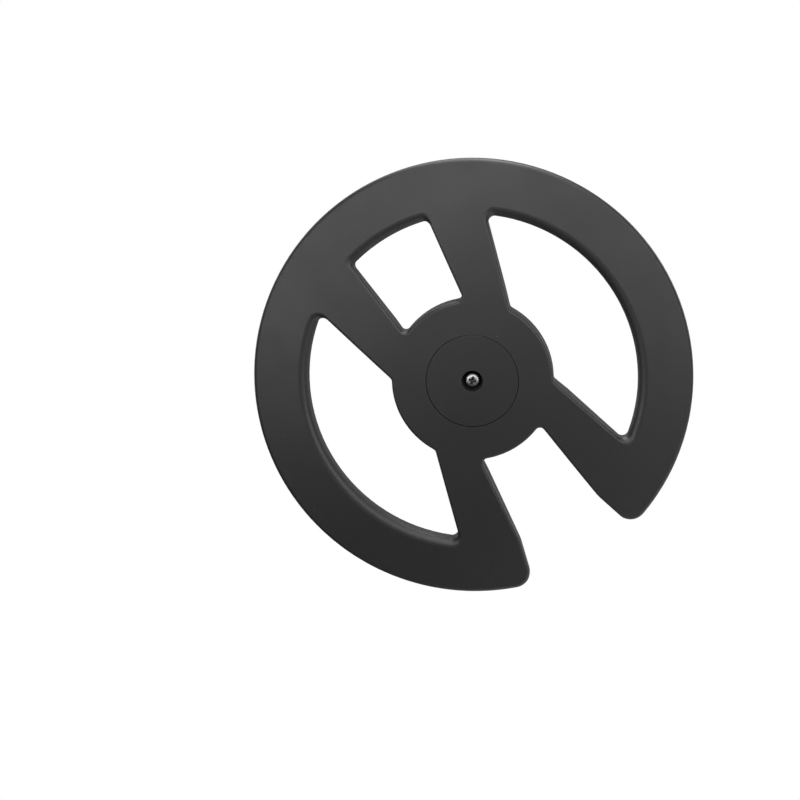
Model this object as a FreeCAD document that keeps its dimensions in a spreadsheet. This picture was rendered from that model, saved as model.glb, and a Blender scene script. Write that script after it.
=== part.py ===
import FreeCAD, Part
import math
import os
import Sketcher

# Chain guard: a dished, moulded disc with four spokes, three windows and one open slot for
# the crank arm. A flush round plate and one screw clamp the disc to a threaded adapter.
#
# Frame, in millimetres: the hub axis is Y, the front of the disc looks along -Y, and the
# slot points down, along -Z. The origin is on the axis, on the face of the adapter that
# seats on the crank's boss, so what is in front of that seat has a negative Y.

# Disc, front form
FRONT_SIZES = {
    "guard_radius": 103.75,     # outside of the rim
    "hub_stand": 10.0,          # from the crank seat to the foremost point of the front
    "dome_radius": 474.0,       # the whole front is one shallow sphere
    "rim_back": 5.4,            # flat back edge of rim and skirts, behind the crank seat
    "back_start": 45.0,         # distance from the axis where the flat back starts
    "wall": 2.5,                # wall of the moulding
}

# Disc, windows and slot
OPENING_SIZES = {
    "hub_radius": 38.0,         # hub ends of the windows
    "window_radius": 77.6,      # outer ends of the windows
    "gap_offset": 12.2,         # edges of top window and slot, square distance from the axis
    "gap_flare": 6.6,           # how far those edges lean out, in degrees
    "side_offset": 25.5,        # straight edges of the side windows, from the axis
    "side_flare": 16.6,         # how far those edges lean out, in degrees
    "mouth_start": 81.4,        # distance from the axis where the slot starts to flare
    "mouth_flare": 15.0,        # how far the slot's edges lean out there, in degrees
}

# Disc, rounded corners and edges
ROUND_SIZES = {
    "window_corner": 3.0,       # corners at the outer ends of the windows
    "hub_corner": 2.4,          # corners at the hub ends of the windows and the slot
    "mouth_blend": 20.0,        # bend where the slot starts to flare
    "mouth_corner": 7.5,        # corners of the slot's mouth
    "window_roll": 4.2,         # rolled front edge at the outer ends of the windows
    "edge_round": 1.2,          # front edges of the spokes and the hub
    "rim_round": 1.8,           # front edge of the rim
}

# Disc, back
BACK_SIZES = {
    "cup_wall": 3.0,            # wall of the cup behind the centre plate
    "floor": 3.0,               # floor of that cup, clamped between plate and adapter
    "seat_gap": 3.0,            # from that floor to the crank seat: the adapter's flange
    "rib": 1.6,                 # thickness of the stiffening ribs
    "rib_setback": 1.5,         # how far the rim's ribs stay below the back edge
}

# Centre plate
PLATE_SIZES = {
    "plate_radius": 22.0,       # seat of the plate in the disc
    "plate_gap": 0.2,           # clearance round the plate
    "plate_chamfer": 0.25,      # bevel of the plate's front edge
    "well_radius": 5.0,         # well that the screw's head sinks into
    "well_depth": 4.6,          # depth of that well
    "well_wall": 2.1,           # wall round the well
    "well_floor": 2.0,          # wall under the screw's head
}

# Screw
SCREW_SIZES = {
    "screw_radius": 2.0,        # thread, M4
    "screw_length": 12.0,       # under the head
    "head_radius": 4.0,         # pan head
    "head_height": 2.9,         # pan head
    "head_round": 1.7,          # rounded shoulder of the head
    "recess_width": 1.1,        # arms of the cross recess
    "recess_span": 4.4,         # tip to tip of the cross recess
    "recess_depth": 1.9,        # depth of the cross recess
    "recess_taper": 12.0,       # draft of the recess, in degrees
    "thread_gap": 0.05,         # clearance of the screw in its threaded hole
    "shank_gap": 0.25,          # clearance of the screw in the plate
    "tip_chamfer": 0.6,         # bevelled tip
}

# Adapter
ADAPTER_SIZES = {
    "spigot_radius": 11.0,      # thread for the crank, M22 x 1
    "spigot_length": 8.0,       # length of that thread
    "relief_depth": 0.8,        # undercut between thread and flange
    "relief_width": 1.6,        # width of the undercut
    "seat_margin": 0.6,         # how far the seat keeps clear of the thread
    "seat_relief": 0.4,         # how deep the flange's face is relieved there
    "spigot_chamfer": 0.9,      # lead-in of the thread
    "flats": 30.0,              # across the flats of the hexagonal flange
    "flange_chamfer": 0.8,      # bevelled corners of that flange
    "pilot_radius": 10.0,       # round pilot that centres the disc
    "pilot_gap": 0.15,          # clearance of the disc on the pilot
    "pilot_setback": 0.3,       # how far the pilot stays below the disc's floor
    "boss_gap": 0.2,            # clearance round and under the plate's boss
}

doc = FreeCAD.newDocument("chain_guard")
sizes = doc.addObject("Spreadsheet::Sheet", "Sizes")
row = 0
for group in (FRONT_SIZES, OPENING_SIZES, ROUND_SIZES, BACK_SIZES, PLATE_SIZES, SCREW_SIZES,
              ADAPTER_SIZES):
    for alias, number in group.items():
        row += 1
        sizes.set(f"A{row}", alias)
        sizes.set(f"B{row}", str(number))
        sizes.setAlias(f"B{row}", alias)
doc.recompute()


# Helpers for sketches whose sizes are bound to the sheet

CLOSE = 0.001


def now(formula):
    """The number that a formula of sheet sizes gives at this moment."""
    return float(sizes.evalExpression(formula))


def origin_plane(body, role):
    return next(item for item in body.Origin.OriginFeatures if item.Role == role)


def new_body(label):
    body = doc.addObject("PartDesign::Body", label)
    body.Label = label
    return body


def new_sketch(body, name, role):
    sketch = body.newObject("Sketcher::SketchObject", name)
    sketch.AttachmentSupport = [(origin_plane(body, role), "")]
    sketch.MapMode = "FlatFace"
    return sketch


def bind(sketch, kind, where, formula, number=None):
    """Adds a dimension to a sketch and ties it to a formula of sheet sizes."""
    start = now(formula) if number is None else number
    index = sketch.addConstraint(Sketcher.Constraint(kind, *where, start))
    name = f"size_{index}"
    sketch.renameConstraint(index, name)
    sketch.setExpression(f"Constraints.{name}", formula)


def place_point(sketch, geometry, end, across, up):
    """Fixes a point by its two coordinates, each a formula. Zero lies on an axis."""
    for kind, formula, zero_axis in (("DistanceX", across, -2), ("DistanceY", up, -1)):
        if formula == "0":
            sketch.addConstraint(Sketcher.Constraint("PointOnObject", geometry, end, zero_axis))
        else:
            bind(sketch, kind, (-1, 1, geometry, end), formula)


def add_line(sketch, start, finish):
    start = FreeCAD.Vector(start[0], start[1], 0)
    finish = FreeCAD.Vector(finish[0], finish[1], 0)
    return sketch.addGeometry(Part.LineSegment(start, finish), False)


def join(sketch, first, first_end, second, second_end):
    sketch.addConstraint(Sketcher.Constraint("Coincident", first, first_end, second, second_end))


def arc_through(start, finish, radius):
    """Counter-clockwise arc of a radius from start to finish, its centre on the left."""
    middle = ((start[0] + finish[0]) / 2, (start[1] + finish[1]) / 2)
    run = (finish[0] - start[0], finish[1] - start[1])
    half = math.hypot(*run) / 2
    rise = math.sqrt(radius ** 2 - half ** 2) / (2 * half)
    centre = (middle[0] - run[1] * rise, middle[1] + run[0] * rise)
    angles = [math.atan2(end[1] - centre[1], end[0] - centre[0]) for end in (start, finish)]
    circle = Part.Circle(FreeCAD.Vector(*centre, 0), FreeCAD.Vector(0, 0, 1), radius)
    return Part.ArcOfCircle(circle, *angles)


def profile(sketch, points, arcs=None):
    """Closed profile of a turned form. Each point is (radius, depth), two formulas.

    arcs maps the number of a side to (radius formula, True if it runs counter-clockwise).
    """
    arcs = arcs or {}
    spots = [(now(across), now(up)) for across, up in points]
    sides = []
    for index, spot in enumerate(spots):
        after = spots[(index + 1) % len(spots)]
        if index not in arcs:
            sides.append((add_line(sketch, spot, after), 1, 2))
            continue
        radius, counter_clockwise = arcs[index]
        ends = (spot, after) if counter_clockwise else (after, spot)
        geometry = sketch.addGeometry(arc_through(*ends, now(radius)), False)
        sides.append((geometry, 1, 2) if counter_clockwise else (geometry, 2, 1))
        bind(sketch, "Radius", (geometry,), radius)
    for index, (geometry, start, finish) in enumerate(sides):
        following = sides[(index + 1) % len(sides)]
        join(sketch, geometry, finish, following[0], following[1])
        place_point(sketch, geometry, start, *points[index])


def turn(body, name, sketch):
    """Turns a profile once round the hub axis."""
    turned = body.newObject("PartDesign::Revolution", name)
    turned.Profile = sketch
    turned.ReferenceAxis = (sketch, ["V_Axis"])
    turned.Angle = 360
    doc.recompute()
    return turned


def cut_through(body, name, sketch):
    """Cuts a sketch through the whole body, to both sides of the sketch."""
    pocket = body.newObject("PartDesign::Pocket", name)
    pocket.Profile = sketch
    pocket.Type = "ThroughAll"
    pocket.SideType = "Symmetric"
    doc.recompute()
    return pocket


def round_edges(body, name, formula, edges):
    """Rounds edges of the body's last feature with one radius."""
    base = body.Tip
    rounding = body.newObject("PartDesign::Fillet", name)
    rounding.Base = (base, edges)
    rounding.Radius = now(formula)
    rounding.setExpression("Radius", formula)
    doc.recompute()
    return rounding


def upright_edges(shape, radius):
    """Names of the straight edges along the hub axis, at a distance from that axis."""
    names = []
    for number, edge in enumerate(shape.Edges, start=1):
        if len(edge.Vertexes) != 2:
            continue
        first, last = (vertex.Point for vertex in edge.Vertexes)
        along = math.hypot(first.x - last.x, first.z - last.z) < CLOSE
        if along and abs(math.hypot(first.x, first.z) - radius) < CLOSE:
            names.append(f"Edge{number}")
    return names


# Outlines of the openings, in the plane of the disc: sketch x is X and sketch y is Z

def straight_edge(sketch, direction, offset, side, inner, outer):
    """An edge between two circles about the hub axis, held by direction and distance.

    direction is a formula in degrees and offset the formula of its square distance from
    the axis. side is +1 where the edge passes the axis on the left, -1 on the right.
    """
    angle = math.radians(now(direction))
    along = FreeCAD.Vector(math.cos(angle), math.sin(angle), 0)
    across = FreeCAD.Vector(-along.y, along.x, 0) * side * now(offset)
    ends = [across + along * math.sqrt(now(radius) ** 2 - now(offset) ** 2)
            for radius in (inner, outer)]
    edge = add_line(sketch, ends[0], ends[1])
    bind(sketch, "Angle", (edge,), direction, angle)
    bind(sketch, "Distance", (-1, 1, edge), offset)
    return edge, ends[0], ends[1]


def spoke_edge(sketch, across, up, offset, lean, inner, outer):
    """One long edge of a spoke. across and up are +1 or -1 and name its quadrant."""
    direction = f"{up} * (90 - {across} * {lean})"
    return straight_edge(sketch, direction, offset, -across * up, inner, outer)


def round_end(sketch, radius, right, left):
    """An arc about the hub axis, counter-clockwise from one edge's end to another's."""
    angles = [math.atan2(spot[1], spot[0]) for edge, end, spot in (right, left)]
    circle = Part.Circle(FreeCAD.Vector(0, 0, 0), FreeCAD.Vector(0, 0, 1), now(radius))
    arc = sketch.addGeometry(Part.ArcOfCircle(circle, *angles), False)
    join(sketch, arc, 3, -1, 1)
    bind(sketch, "Radius", (arc,), radius)
    join(sketch, arc, 1, right[0], right[1])
    join(sketch, arc, 2, left[0], left[1])


def window(sketch, first, second, offset, lean, margin):
    """Two edges, in counter-clockwise order of their quadrants, and two round ends."""
    inner = f"Sizes.hub_radius - {margin}"
    outer = f"Sizes.window_radius + {margin}"
    right = spoke_edge(sketch, *first, offset, lean, inner, outer)
    left = spoke_edge(sketch, *second, offset, lean, inner, outer)
    round_end(sketch, inner, (right[0], 1, right[1]), (left[0], 1, left[1]))
    round_end(sketch, outer, (right[0], 2, right[2]), (left[0], 2, left[2]))


def slot(sketch, margin):
    """Narrow like the top window, then wider from mouth_start to beyond the rim."""
    inner = f"Sizes.hub_radius - {margin}"
    bend = "Sizes.mouth_start"
    beyond = "Sizes.guard_radius + 2 * Sizes.mouth_corner"
    ends = []
    for across in (-1, 1):
        near, start, corner = spoke_edge(sketch, across, -1, f"Sizes.gap_offset + {margin}",
                                         "Sizes.gap_flare", inner, bend)
        bind(sketch, "Distance", (-1, 1, near, 2), bend)
        direction = f"-90 + {across} * Sizes.mouth_flare"
        spread = math.radians(now(direction))
        reach = FreeCAD.Vector(math.cos(spread), math.sin(spread), 0)
        tip = corner + reach * (now(beyond) - now(bend))
        far = add_line(sketch, corner, tip)
        join(sketch, near, 2, far, 1)
        bind(sketch, "Angle", (far,), direction, spread)
        ends.append((near, start, far, tip))
    left, right = ends
    round_end(sketch, inner, (left[0], 1, left[1]), (right[0], 1, right[1]))
    round_end(sketch, beyond, (left[2], 2, left[3]), (right[2], 2, right[3]))


def cut_openings(body, margin):
    """Cuts the three windows and the slot, all of them larger by a margin on each side."""
    gap = (f"Sizes.gap_offset + {margin}", "Sizes.gap_flare", margin)
    side = (f"Sizes.side_offset - {margin}", "Sizes.side_flare", margin)
    outlines = (("top", (1, 1), (-1, 1), gap),
                ("right", (1, -1), (1, 1), side),
                ("left", (-1, 1), (-1, -1), side))
    for place, first, second, edge_sizes in outlines:
        sketch = new_sketch(body, f"{body.Name}_{place}_window", "XZ_Plane")
        window(sketch, first, second, *edge_sizes)
        cut_through(body, f"{body.Name}_{place}_opening", sketch)
    sketch = new_sketch(body, f"{body.Name}_slot", "XZ_Plane")
    slot(sketch, margin)
    cut_through(body, f"{body.Name}_slot_opening", sketch)


def round_corners(body, margin):
    """Rounds the upright corners of openings that were cut with the same margin."""
    corners = (("hub_corners", f"Sizes.hub_corner + {margin}", f"Sizes.hub_radius - {margin}"),
               ("window_corners", f"Sizes.window_corner + {margin}",
                f"Sizes.window_radius + {margin}"),
               ("mouth_bends", f"Sizes.mouth_blend - {margin}", "Sizes.mouth_start"),
               ("mouth_corners", f"Sizes.mouth_corner - {margin}",
                f"Sizes.guard_radius - {margin}"))
    for place, radius, distance in corners:
        edges = upright_edges(body.Shape, now(distance))
        round_edges(body, f"{body.Name}_{place}", radius, edges)


# Outer form of the disc: turned, then opened, with every upright corner rounded


def dome_depth(distance, lower_by="0"):
    """Depth of the domed front at a distance from the axis, or of a dome inside it."""
    radius = f"(Sizes.dome_radius - {lower_by})"
    return (f"-Sizes.hub_stand + Sizes.dome_radius"
            f" - sqrt({radius} * {radius} - ({distance}) * ({distance}))")


floor_back = "-Sizes.seat_gap"
floor_front = "-Sizes.seat_gap - Sizes.floor"
cup_outside = "Sizes.plate_radius + Sizes.cup_wall"
pilot_hole = "Sizes.pilot_radius + Sizes.pilot_gap"

form = new_body("disc_form")
form_profile = new_sketch(form, "disc_profile", "XY_Plane")
profile(form_profile, [
    (pilot_hole, floor_front),
    ("Sizes.plate_radius", floor_front),
    ("Sizes.plate_radius", dome_depth("Sizes.plate_radius")),
    ("Sizes.guard_radius", dome_depth("Sizes.guard_radius")),
    ("Sizes.guard_radius", "Sizes.rim_back"),
    ("Sizes.back_start", "Sizes.rim_back"),
    (cup_outside, floor_back),
    (pilot_hole, floor_back),
], {2: ("Sizes.dome_radius", True)})
turn(form, "disc_turned", form_profile)
cut_openings(form, "0")
round_corners(form, "0")


# Rounded front edges. Each front loop is walked once, and the radius changes along it:
# large on the outer ends of the windows, small on the spokes, and the rim's own outside.

def axis_distance(point):
    return math.hypot(point.x, point.z)


def front_radius_at(point):
    distance = axis_distance(point)
    if abs(distance - now("Sizes.window_radius")) < CLOSE:
        return now("Sizes.window_roll")
    if abs(distance - now("Sizes.guard_radius")) < CLOSE:
        return now("Sizes.rim_round")
    return now("Sizes.edge_round")


def same_place(first, second):
    return (first - second).Length < CLOSE


def walk(spans):
    """Takes one closed loop out of the spans, in order, from where it lies furthest out."""
    path = [max(spans, key=lambda span: axis_distance(span[1]) + axis_distance(span[2]))]
    spans.remove(path[0])
    while not same_place(path[-1][2], path[0][1]):
        here = path[-1][2]
        number, start, finish = next(span for span in spans
                                     if same_place(here, span[1]) or same_place(here, span[2]))
        spans.remove((number, start, finish))
        path.append((number, start, finish) if same_place(here, start)
                    else (number, finish, start))
    return path


def front_loops(shape):
    """The loops between the domed front face and the upright walls, each one walked.

    The domed face is the foremost of the faces that have openings inside their outline.
    """
    opened = [face for face in shape.Faces if len(face.Wires) > 2]
    front = min(opened, key=lambda face: face.CenterOfMass.y)
    numbers = {edge.hashCode(): number for number, edge in enumerate(shape.Edges, start=1)}
    spans = []
    for edge in front.Edges:
        start = edge.valueAt(edge.FirstParameter)
        finish = edge.valueAt(edge.LastParameter)
        if not edge.isSeam(front) and axis_distance(start) > now(cup_outside):
            spans.append((numbers[edge.hashCode()], start, finish))
    loops = []
    while spans:
        loops.append(walk(spans))
    return loops


rounded = doc.addObject("Part::Fillet", "disc_rounded")
rounded.Base = form
rounded.Edges = [(number, front_radius_at(start), front_radius_at(finish))
                 for loop in front_loops(form.Shape)
                 for number, start, finish in loop]
doc.recompute()


# Core: the hollow behind the disc's wall. Walls and ribs are what the core leaves standing.

def rib_outline(sketch, direction, offset, side, inner, outer):
    """A thin strip for one rib, between two distances from the hub axis."""
    if offset == "0":
        edges = [straight_edge(sketch, direction, "Sizes.rib / 2", way, inner, outer)
                 for way in (1, -1)]
    else:
        edges = [straight_edge(sketch, direction, f"{offset} {mark} Sizes.rib / 2", side,
                               inner, outer) for mark in ("+", "-")]
    for edge, start, finish in edges:
        bind(sketch, "Distance", (-1, 1, edge, 1), inner)
        bind(sketch, "Distance", (-1, 1, edge, 2), outer)
    (first, first_start, first_end), (second, second_start, second_end) = edges
    for end, one, other in ((1, first_start, second_start), (2, first_end, second_end)):
        closing = add_line(sketch, one, other)
        join(sketch, closing, 1, first, end)
        join(sketch, closing, 2, second, end)


RIM_RIB_HEADINGS = (-30, 0, 30, 90, 150, 180, 210)
HUB_RIB_HEADINGS = (0, 90, 180, 270)

core = new_body("disc_core")
core_sketch = new_sketch(core, "core_profile", "XY_Plane")
core_outside = "Sizes.guard_radius - Sizes.wall"
beyond_back = "Sizes.rim_back + Sizes.wall"
profile(core_sketch, [
    (cup_outside, dome_depth(cup_outside, "Sizes.wall")),
    (core_outside, dome_depth(core_outside, "Sizes.wall")),
    (core_outside, beyond_back),
    (cup_outside, beyond_back),
], {0: ("Sizes.dome_radius - Sizes.wall", True)})
turn(core, "core_turned", core_sketch)
cut_openings(core, "Sizes.wall")
round_corners(core, "Sizes.wall")

rib_sketch = new_sketch(core, "rib_outlines", "XZ_Plane")
spoke_lean = "(Sizes.gap_flare + Sizes.side_flare) / 2"
spoke_offset = "(Sizes.gap_offset + Sizes.side_offset) / 2"
in_cup, in_hub_edge = "Sizes.plate_radius + Sizes.rib", "Sizes.hub_radius - Sizes.rib / 2"
in_window_edge = "Sizes.window_radius + Sizes.rib / 2"
in_rim = "Sizes.guard_radius - Sizes.rib"
for across in (-1, 1):
    for up in (-1, 1):
        rib_outline(rib_sketch, f"{up} * (90 - {across} * {spoke_lean})", spoke_offset,
                    -across * up, in_cup, in_rim)
for heading in HUB_RIB_HEADINGS:
    rib_outline(rib_sketch, str(heading), "0", 1, in_cup, in_hub_edge)
for heading in RIM_RIB_HEADINGS:
    rib_outline(rib_sketch, str(heading), "0", 1, in_window_edge, in_rim)

ribs = core.newObject("PartDesign::Pocket", "ribs")
ribs.Profile = rib_sketch
ribs.SideType = "Two sides"
ribs.Type = "Length"
ribs.Type2 = "ThroughAll"
ribs.Length = now("Sizes.rim_back - Sizes.rib_setback")
ribs.setExpression("Length", "Sizes.rim_back - Sizes.rib_setback")
doc.recompute()

disc = doc.addObject("Part::Cut", "guard_disc")
disc.Base = rounded
disc.Tool = core
disc.Label = "guard_disc"


# Centre plate: flush with the hub, with a well for the screw's head

plate_edge = "Sizes.plate_radius - Sizes.plate_gap"
plate_front = f"{plate_edge} - Sizes.plate_chamfer"
well_bottom = "-Sizes.hub_stand + Sizes.well_depth"
boss_radius = "Sizes.well_radius + Sizes.well_wall"
boss_back = "-Sizes.hub_stand + Sizes.well_depth + Sizes.well_floor"
shank_hole = "Sizes.screw_radius + Sizes.shank_gap"

plate = new_body("centre_plate")
plate_sketch = new_sketch(plate, "plate_profile", "XY_Plane")
profile(plate_sketch, [
    (shank_hole, well_bottom),
    ("Sizes.well_radius", well_bottom),
    ("Sizes.well_radius", dome_depth("Sizes.well_radius")),
    (plate_front, dome_depth(plate_front)),
    (plate_edge, f"{dome_depth(plate_edge)} + Sizes.plate_chamfer"),
    (plate_edge, floor_front),
    (boss_radius, floor_front),
    (boss_radius, boss_back),
    (shank_hole, boss_back),
], {2: ("Sizes.dome_radius", True)})
turn(plate, "plate_turned", plate_sketch)


# Screw: pan head with a cross recess, seated on the floor of the well

head_top = f"{well_bottom} - Sizes.head_height"
screw_tip = f"{well_bottom} + Sizes.screw_length"

screw = new_body("centre_screw")
screw_sketch = new_sketch(screw, "screw_profile", "XY_Plane")
profile(screw_sketch, [
    ("0", head_top),
    ("Sizes.head_radius - Sizes.head_round", head_top),
    ("Sizes.head_radius", f"{head_top} + Sizes.head_round"),
    ("Sizes.head_radius", well_bottom),
    ("Sizes.screw_radius", well_bottom),
    ("Sizes.screw_radius", f"{screw_tip} - Sizes.tip_chamfer"),
    ("Sizes.screw_radius - Sizes.tip_chamfer", screw_tip),
    ("0", screw_tip),
], {1: ("Sizes.head_round", True)})
turn(screw, "screw_turned", screw_sketch)


def cross_outline(sketch, width, span):
    """A plus sign centred on the axis, from twelve corners."""
    near, far = f"{width} / 2", f"{span} / 2"
    quarter = ((far, near), (near, near), (near, far))
    corners = []
    for turn_number in range(4):
        for across, up in quarter:
            pairs = ((across, up), (f"-{up}", across), (f"-({across})", f"-({up})"),
                     (up, f"-({across})"))
            corners.append(pairs[turn_number])
    for index, (across, up) in enumerate(corners):
        following = corners[(index + 1) % len(corners)]
        add_line(sketch, (now(across), now(up)), (now(following[0]), now(following[1])))
    for index, (across, up) in enumerate(corners):
        join(sketch, index, 2, (index + 1) % len(corners), 1)
        place_point(sketch, index, 1, across, up)


cross_sketch = new_sketch(screw, "cross_recess", "XZ_Plane")
cross_sketch.AttachmentOffset = FreeCAD.Placement(
    FreeCAD.Vector(0, 0, -now(head_top)), FreeCAD.Rotation())
cross_sketch.setExpression("AttachmentOffset.Base.z", f"-({head_top})")
cross_outline(cross_sketch, "Sizes.recess_width", "Sizes.recess_span")
recess = screw.newObject("PartDesign::Pocket", "recess")
recess.Profile = cross_sketch
recess.Type = "Length"
recess.Length = now("Sizes.recess_depth")
recess.setExpression("Length", "Sizes.recess_depth")
recess.TaperAngle = -now("Sizes.recess_taper")
recess.setExpression("TaperAngle", "-Sizes.recess_taper")
doc.recompute()


# Adapter: threaded spigot for the crank, hexagonal flange, and a pilot for the disc

corner_radius = "Sizes.flats / sqrt(3)"
pilot_front = f"{floor_front} + Sizes.pilot_setback"
bore = "Sizes.screw_radius + Sizes.thread_gap"
boss_socket = f"{boss_radius} + Sizes.boss_gap"
socket_floor = f"{boss_back} + Sizes.boss_gap"
undercut = "Sizes.spigot_radius - Sizes.relief_depth"
seat_inside = "Sizes.spigot_radius + Sizes.seat_margin"

adapter = new_body("crank_adapter")
adapter_sketch = new_sketch(adapter, "adapter_profile", "XY_Plane")
profile(adapter_sketch, [
    (bore, socket_floor),
    (boss_socket, socket_floor),
    (boss_socket, pilot_front),
    ("Sizes.pilot_radius", pilot_front),
    ("Sizes.pilot_radius", floor_back),
    (f"{corner_radius} - 2 * Sizes.flange_chamfer", floor_back),
    (corner_radius, f"{floor_back} + Sizes.flange_chamfer"),
    (corner_radius, "0"),
    (seat_inside, "0"),
    (seat_inside, "-Sizes.seat_relief"),
    (undercut, "-Sizes.seat_relief"),
    (undercut, "Sizes.relief_width"),
    ("Sizes.spigot_radius", "Sizes.relief_width"),
    ("Sizes.spigot_radius", "Sizes.spigot_length - Sizes.spigot_chamfer"),
    ("Sizes.spigot_radius - Sizes.spigot_chamfer", "Sizes.spigot_length"),
    (bore, "Sizes.spigot_length"),
])
turn(adapter, "adapter_turned", adapter_sketch)

flat_sketch = new_sketch(adapter, "one_flat", "XZ_Plane")
flat_corners = (("Sizes.flats / 2", "-Sizes.flats / 2"), ("Sizes.flats", "-Sizes.flats / 2"),
                ("Sizes.flats", "Sizes.flats / 2"), ("Sizes.flats / 2", "Sizes.flats / 2"))
profile(flat_sketch, flat_corners)
one_flat = cut_through(adapter, "first_flat", flat_sketch)
flats = adapter.newObject("PartDesign::PolarPattern", "six_flats")
flats.Originals = [one_flat]
flats.Axis = (origin_plane(adapter, "Y_Axis"), [""])
flats.Angle = 360
flats.Occurrences = 6
adapter.Tip = flats
doc.recompute()


# Checks of every object, and the files

pieces = [disc, plate, screw, adapter]
for item in doc.Objects:
    faults = [word for word in item.State if word in ("Invalid", "Error")]
    if faults:
        raise RuntimeError(f"{item.Label}: {faults}")
for piece in pieces:
    if piece.Shape.isNull() or not piece.Shape.isValid() or len(piece.Shape.Solids) != 1:
        raise RuntimeError(f"{piece.Label}: no valid single solid")

os.makedirs("parts", exist_ok=True)
for piece in pieces:
    piece.Shape.exportStep(os.path.join("parts", f"{piece.Label}.step"))
    box = piece.Shape.optimalBoundingBox()
    print(f"{piece.Label}: {piece.Shape.Volume:.0f} mm3, {box.XLength:.1f} x {box.YLength:.1f}"
          f" x {box.ZLength:.1f} mm, {len(piece.Shape.Faces)} faces")
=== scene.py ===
# %% [markdown]
# # A moulded chain guard
#
# The object is a round, shallow dish of black plastic that keeps clothes clean and whole. A
# round plate sits flush in its hub, one screw clamps the stack, and a threaded adapter behind
# it holds the whole guard. The solids are loaded as they were built. This lesson gives them
# their surfaces, cuts the fine threads, and lights and frames the part.

import math

import bpy
from mathutils import Matrix, Vector


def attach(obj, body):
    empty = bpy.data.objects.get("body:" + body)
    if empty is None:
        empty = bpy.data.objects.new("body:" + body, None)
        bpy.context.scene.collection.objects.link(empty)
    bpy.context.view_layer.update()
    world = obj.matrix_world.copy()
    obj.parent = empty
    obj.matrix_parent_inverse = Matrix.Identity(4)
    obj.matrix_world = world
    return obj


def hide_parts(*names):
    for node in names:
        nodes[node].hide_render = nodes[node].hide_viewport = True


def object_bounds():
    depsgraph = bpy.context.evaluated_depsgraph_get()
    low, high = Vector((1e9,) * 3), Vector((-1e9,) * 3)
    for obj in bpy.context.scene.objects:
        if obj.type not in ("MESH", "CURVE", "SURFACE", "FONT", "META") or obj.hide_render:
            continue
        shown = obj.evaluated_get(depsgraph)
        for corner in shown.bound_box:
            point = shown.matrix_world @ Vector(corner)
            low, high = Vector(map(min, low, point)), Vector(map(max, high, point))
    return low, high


MM = 0.001

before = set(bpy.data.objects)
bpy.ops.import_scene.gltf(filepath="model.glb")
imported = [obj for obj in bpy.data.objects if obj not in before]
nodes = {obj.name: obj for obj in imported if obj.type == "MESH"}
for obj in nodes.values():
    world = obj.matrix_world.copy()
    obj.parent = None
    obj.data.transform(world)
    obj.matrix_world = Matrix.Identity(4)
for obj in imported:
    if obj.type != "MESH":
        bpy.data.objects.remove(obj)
cad_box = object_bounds()
print("nodes:", sorted(nodes))
print("size in mm:", [round(side / MM, 1) for side in cad_box[1] - cad_box[0]])

# %% [markdown]
# ## Tools for turned pieces
#
# The screw and the adapter are turned parts, made on a lathe. A lathe shape in Blender is a
# profile that is spun about an axis. The profile is drawn as by hand: one point is extruded
# from corner to corner, with the radius along X and the depth along Y, and the whole line is
# spun about Y. Corners are written in millimetres, as on a workshop drawing.

# %% Helpers that pick a piece and edit it
MERGE_DISTANCE = 0.002 * MM


def deselect_all():
    bpy.ops.object.select_all(action="DESELECT")


def pick(piece):
    """Selects one piece alone and makes it the active one."""
    deselect_all()
    piece.select_set(True)
    bpy.context.view_layer.objects.active = piece


def start_editing(piece):
    pick(piece)
    bpy.ops.object.mode_set(mode="EDIT")


def stop_editing():
    bpy.ops.object.mode_set(mode="OBJECT")


def clean_mesh():
    """In edit mode: closes the seam and turns the faces outwards."""
    bpy.ops.mesh.select_all(action="SELECT")
    bpy.ops.mesh.remove_doubles(threshold=MERGE_DISTANCE)
    bpy.ops.mesh.select_all(action="SELECT")
    bpy.ops.mesh.normals_make_consistent(inside=False)


print("points closer than", MERGE_DISTANCE / MM, "mm are merged")

# %% Helpers that draw a profile and spin it
def one_point(name, radius, depth):
    """A mesh of a single vertex, selected in edit mode."""
    deselect_all()
    bpy.ops.mesh.primitive_plane_add(size=MM, location=(radius * MM, depth * MM, 0))
    piece = bpy.context.active_object
    piece.name = name
    bpy.ops.object.transform_apply(location=True)
    start_editing(piece)
    bpy.ops.mesh.select_all(action="SELECT")
    bpy.ops.mesh.merge(type="CENTER")
    return piece


def draw_profile(name, corners):
    """A line through corners, each a radius and a depth in millimetres."""
    piece = one_point(name, *corners[0])
    for (radius, depth), (next_radius, next_depth) in zip(corners, corners[1:]):
        move = ((next_radius - radius) * MM, (next_depth - depth) * MM, 0)
        bpy.ops.mesh.extrude_region_move(TRANSFORM_OT_translate={"value": move})
    return piece


def spin_profile(name, corners, steps):
    """A closed turned piece, with so many steps to the turn."""
    piece = draw_profile(name, corners)
    bpy.ops.mesh.select_all(action="SELECT")
    bpy.ops.mesh.spin(steps=steps, angle=2 * math.pi, center=(0, 0, 0), axis=(0, 1, 0))
    clean_mesh()
    stop_editing()
    print(name, "faces:", len(piece.data.polygons))
    return piece


# %% [markdown]
# ## Tools for threads
#
# A thread could be painted as stripes, but its outline would stay smooth, and the outline is
# what the eye looks for. A real thread is one groove that winds down the rod. The Screw
# modifier makes just that: it winds a zigzag of one pitch round the axis as often as needed.
# Its ragged ends are cut square and filled, and it then meets a blank with a bevelled end in
# an intersection, which gives the thread the lead-in that a die leaves. Two faces that would
# lie in one plane are kept a hair apart, because a Boolean can't tell which one to keep.

# %% Helpers that apply a modifier and cut along a plane
CUT_THRESHOLD = 0.0005 * MM


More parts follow.
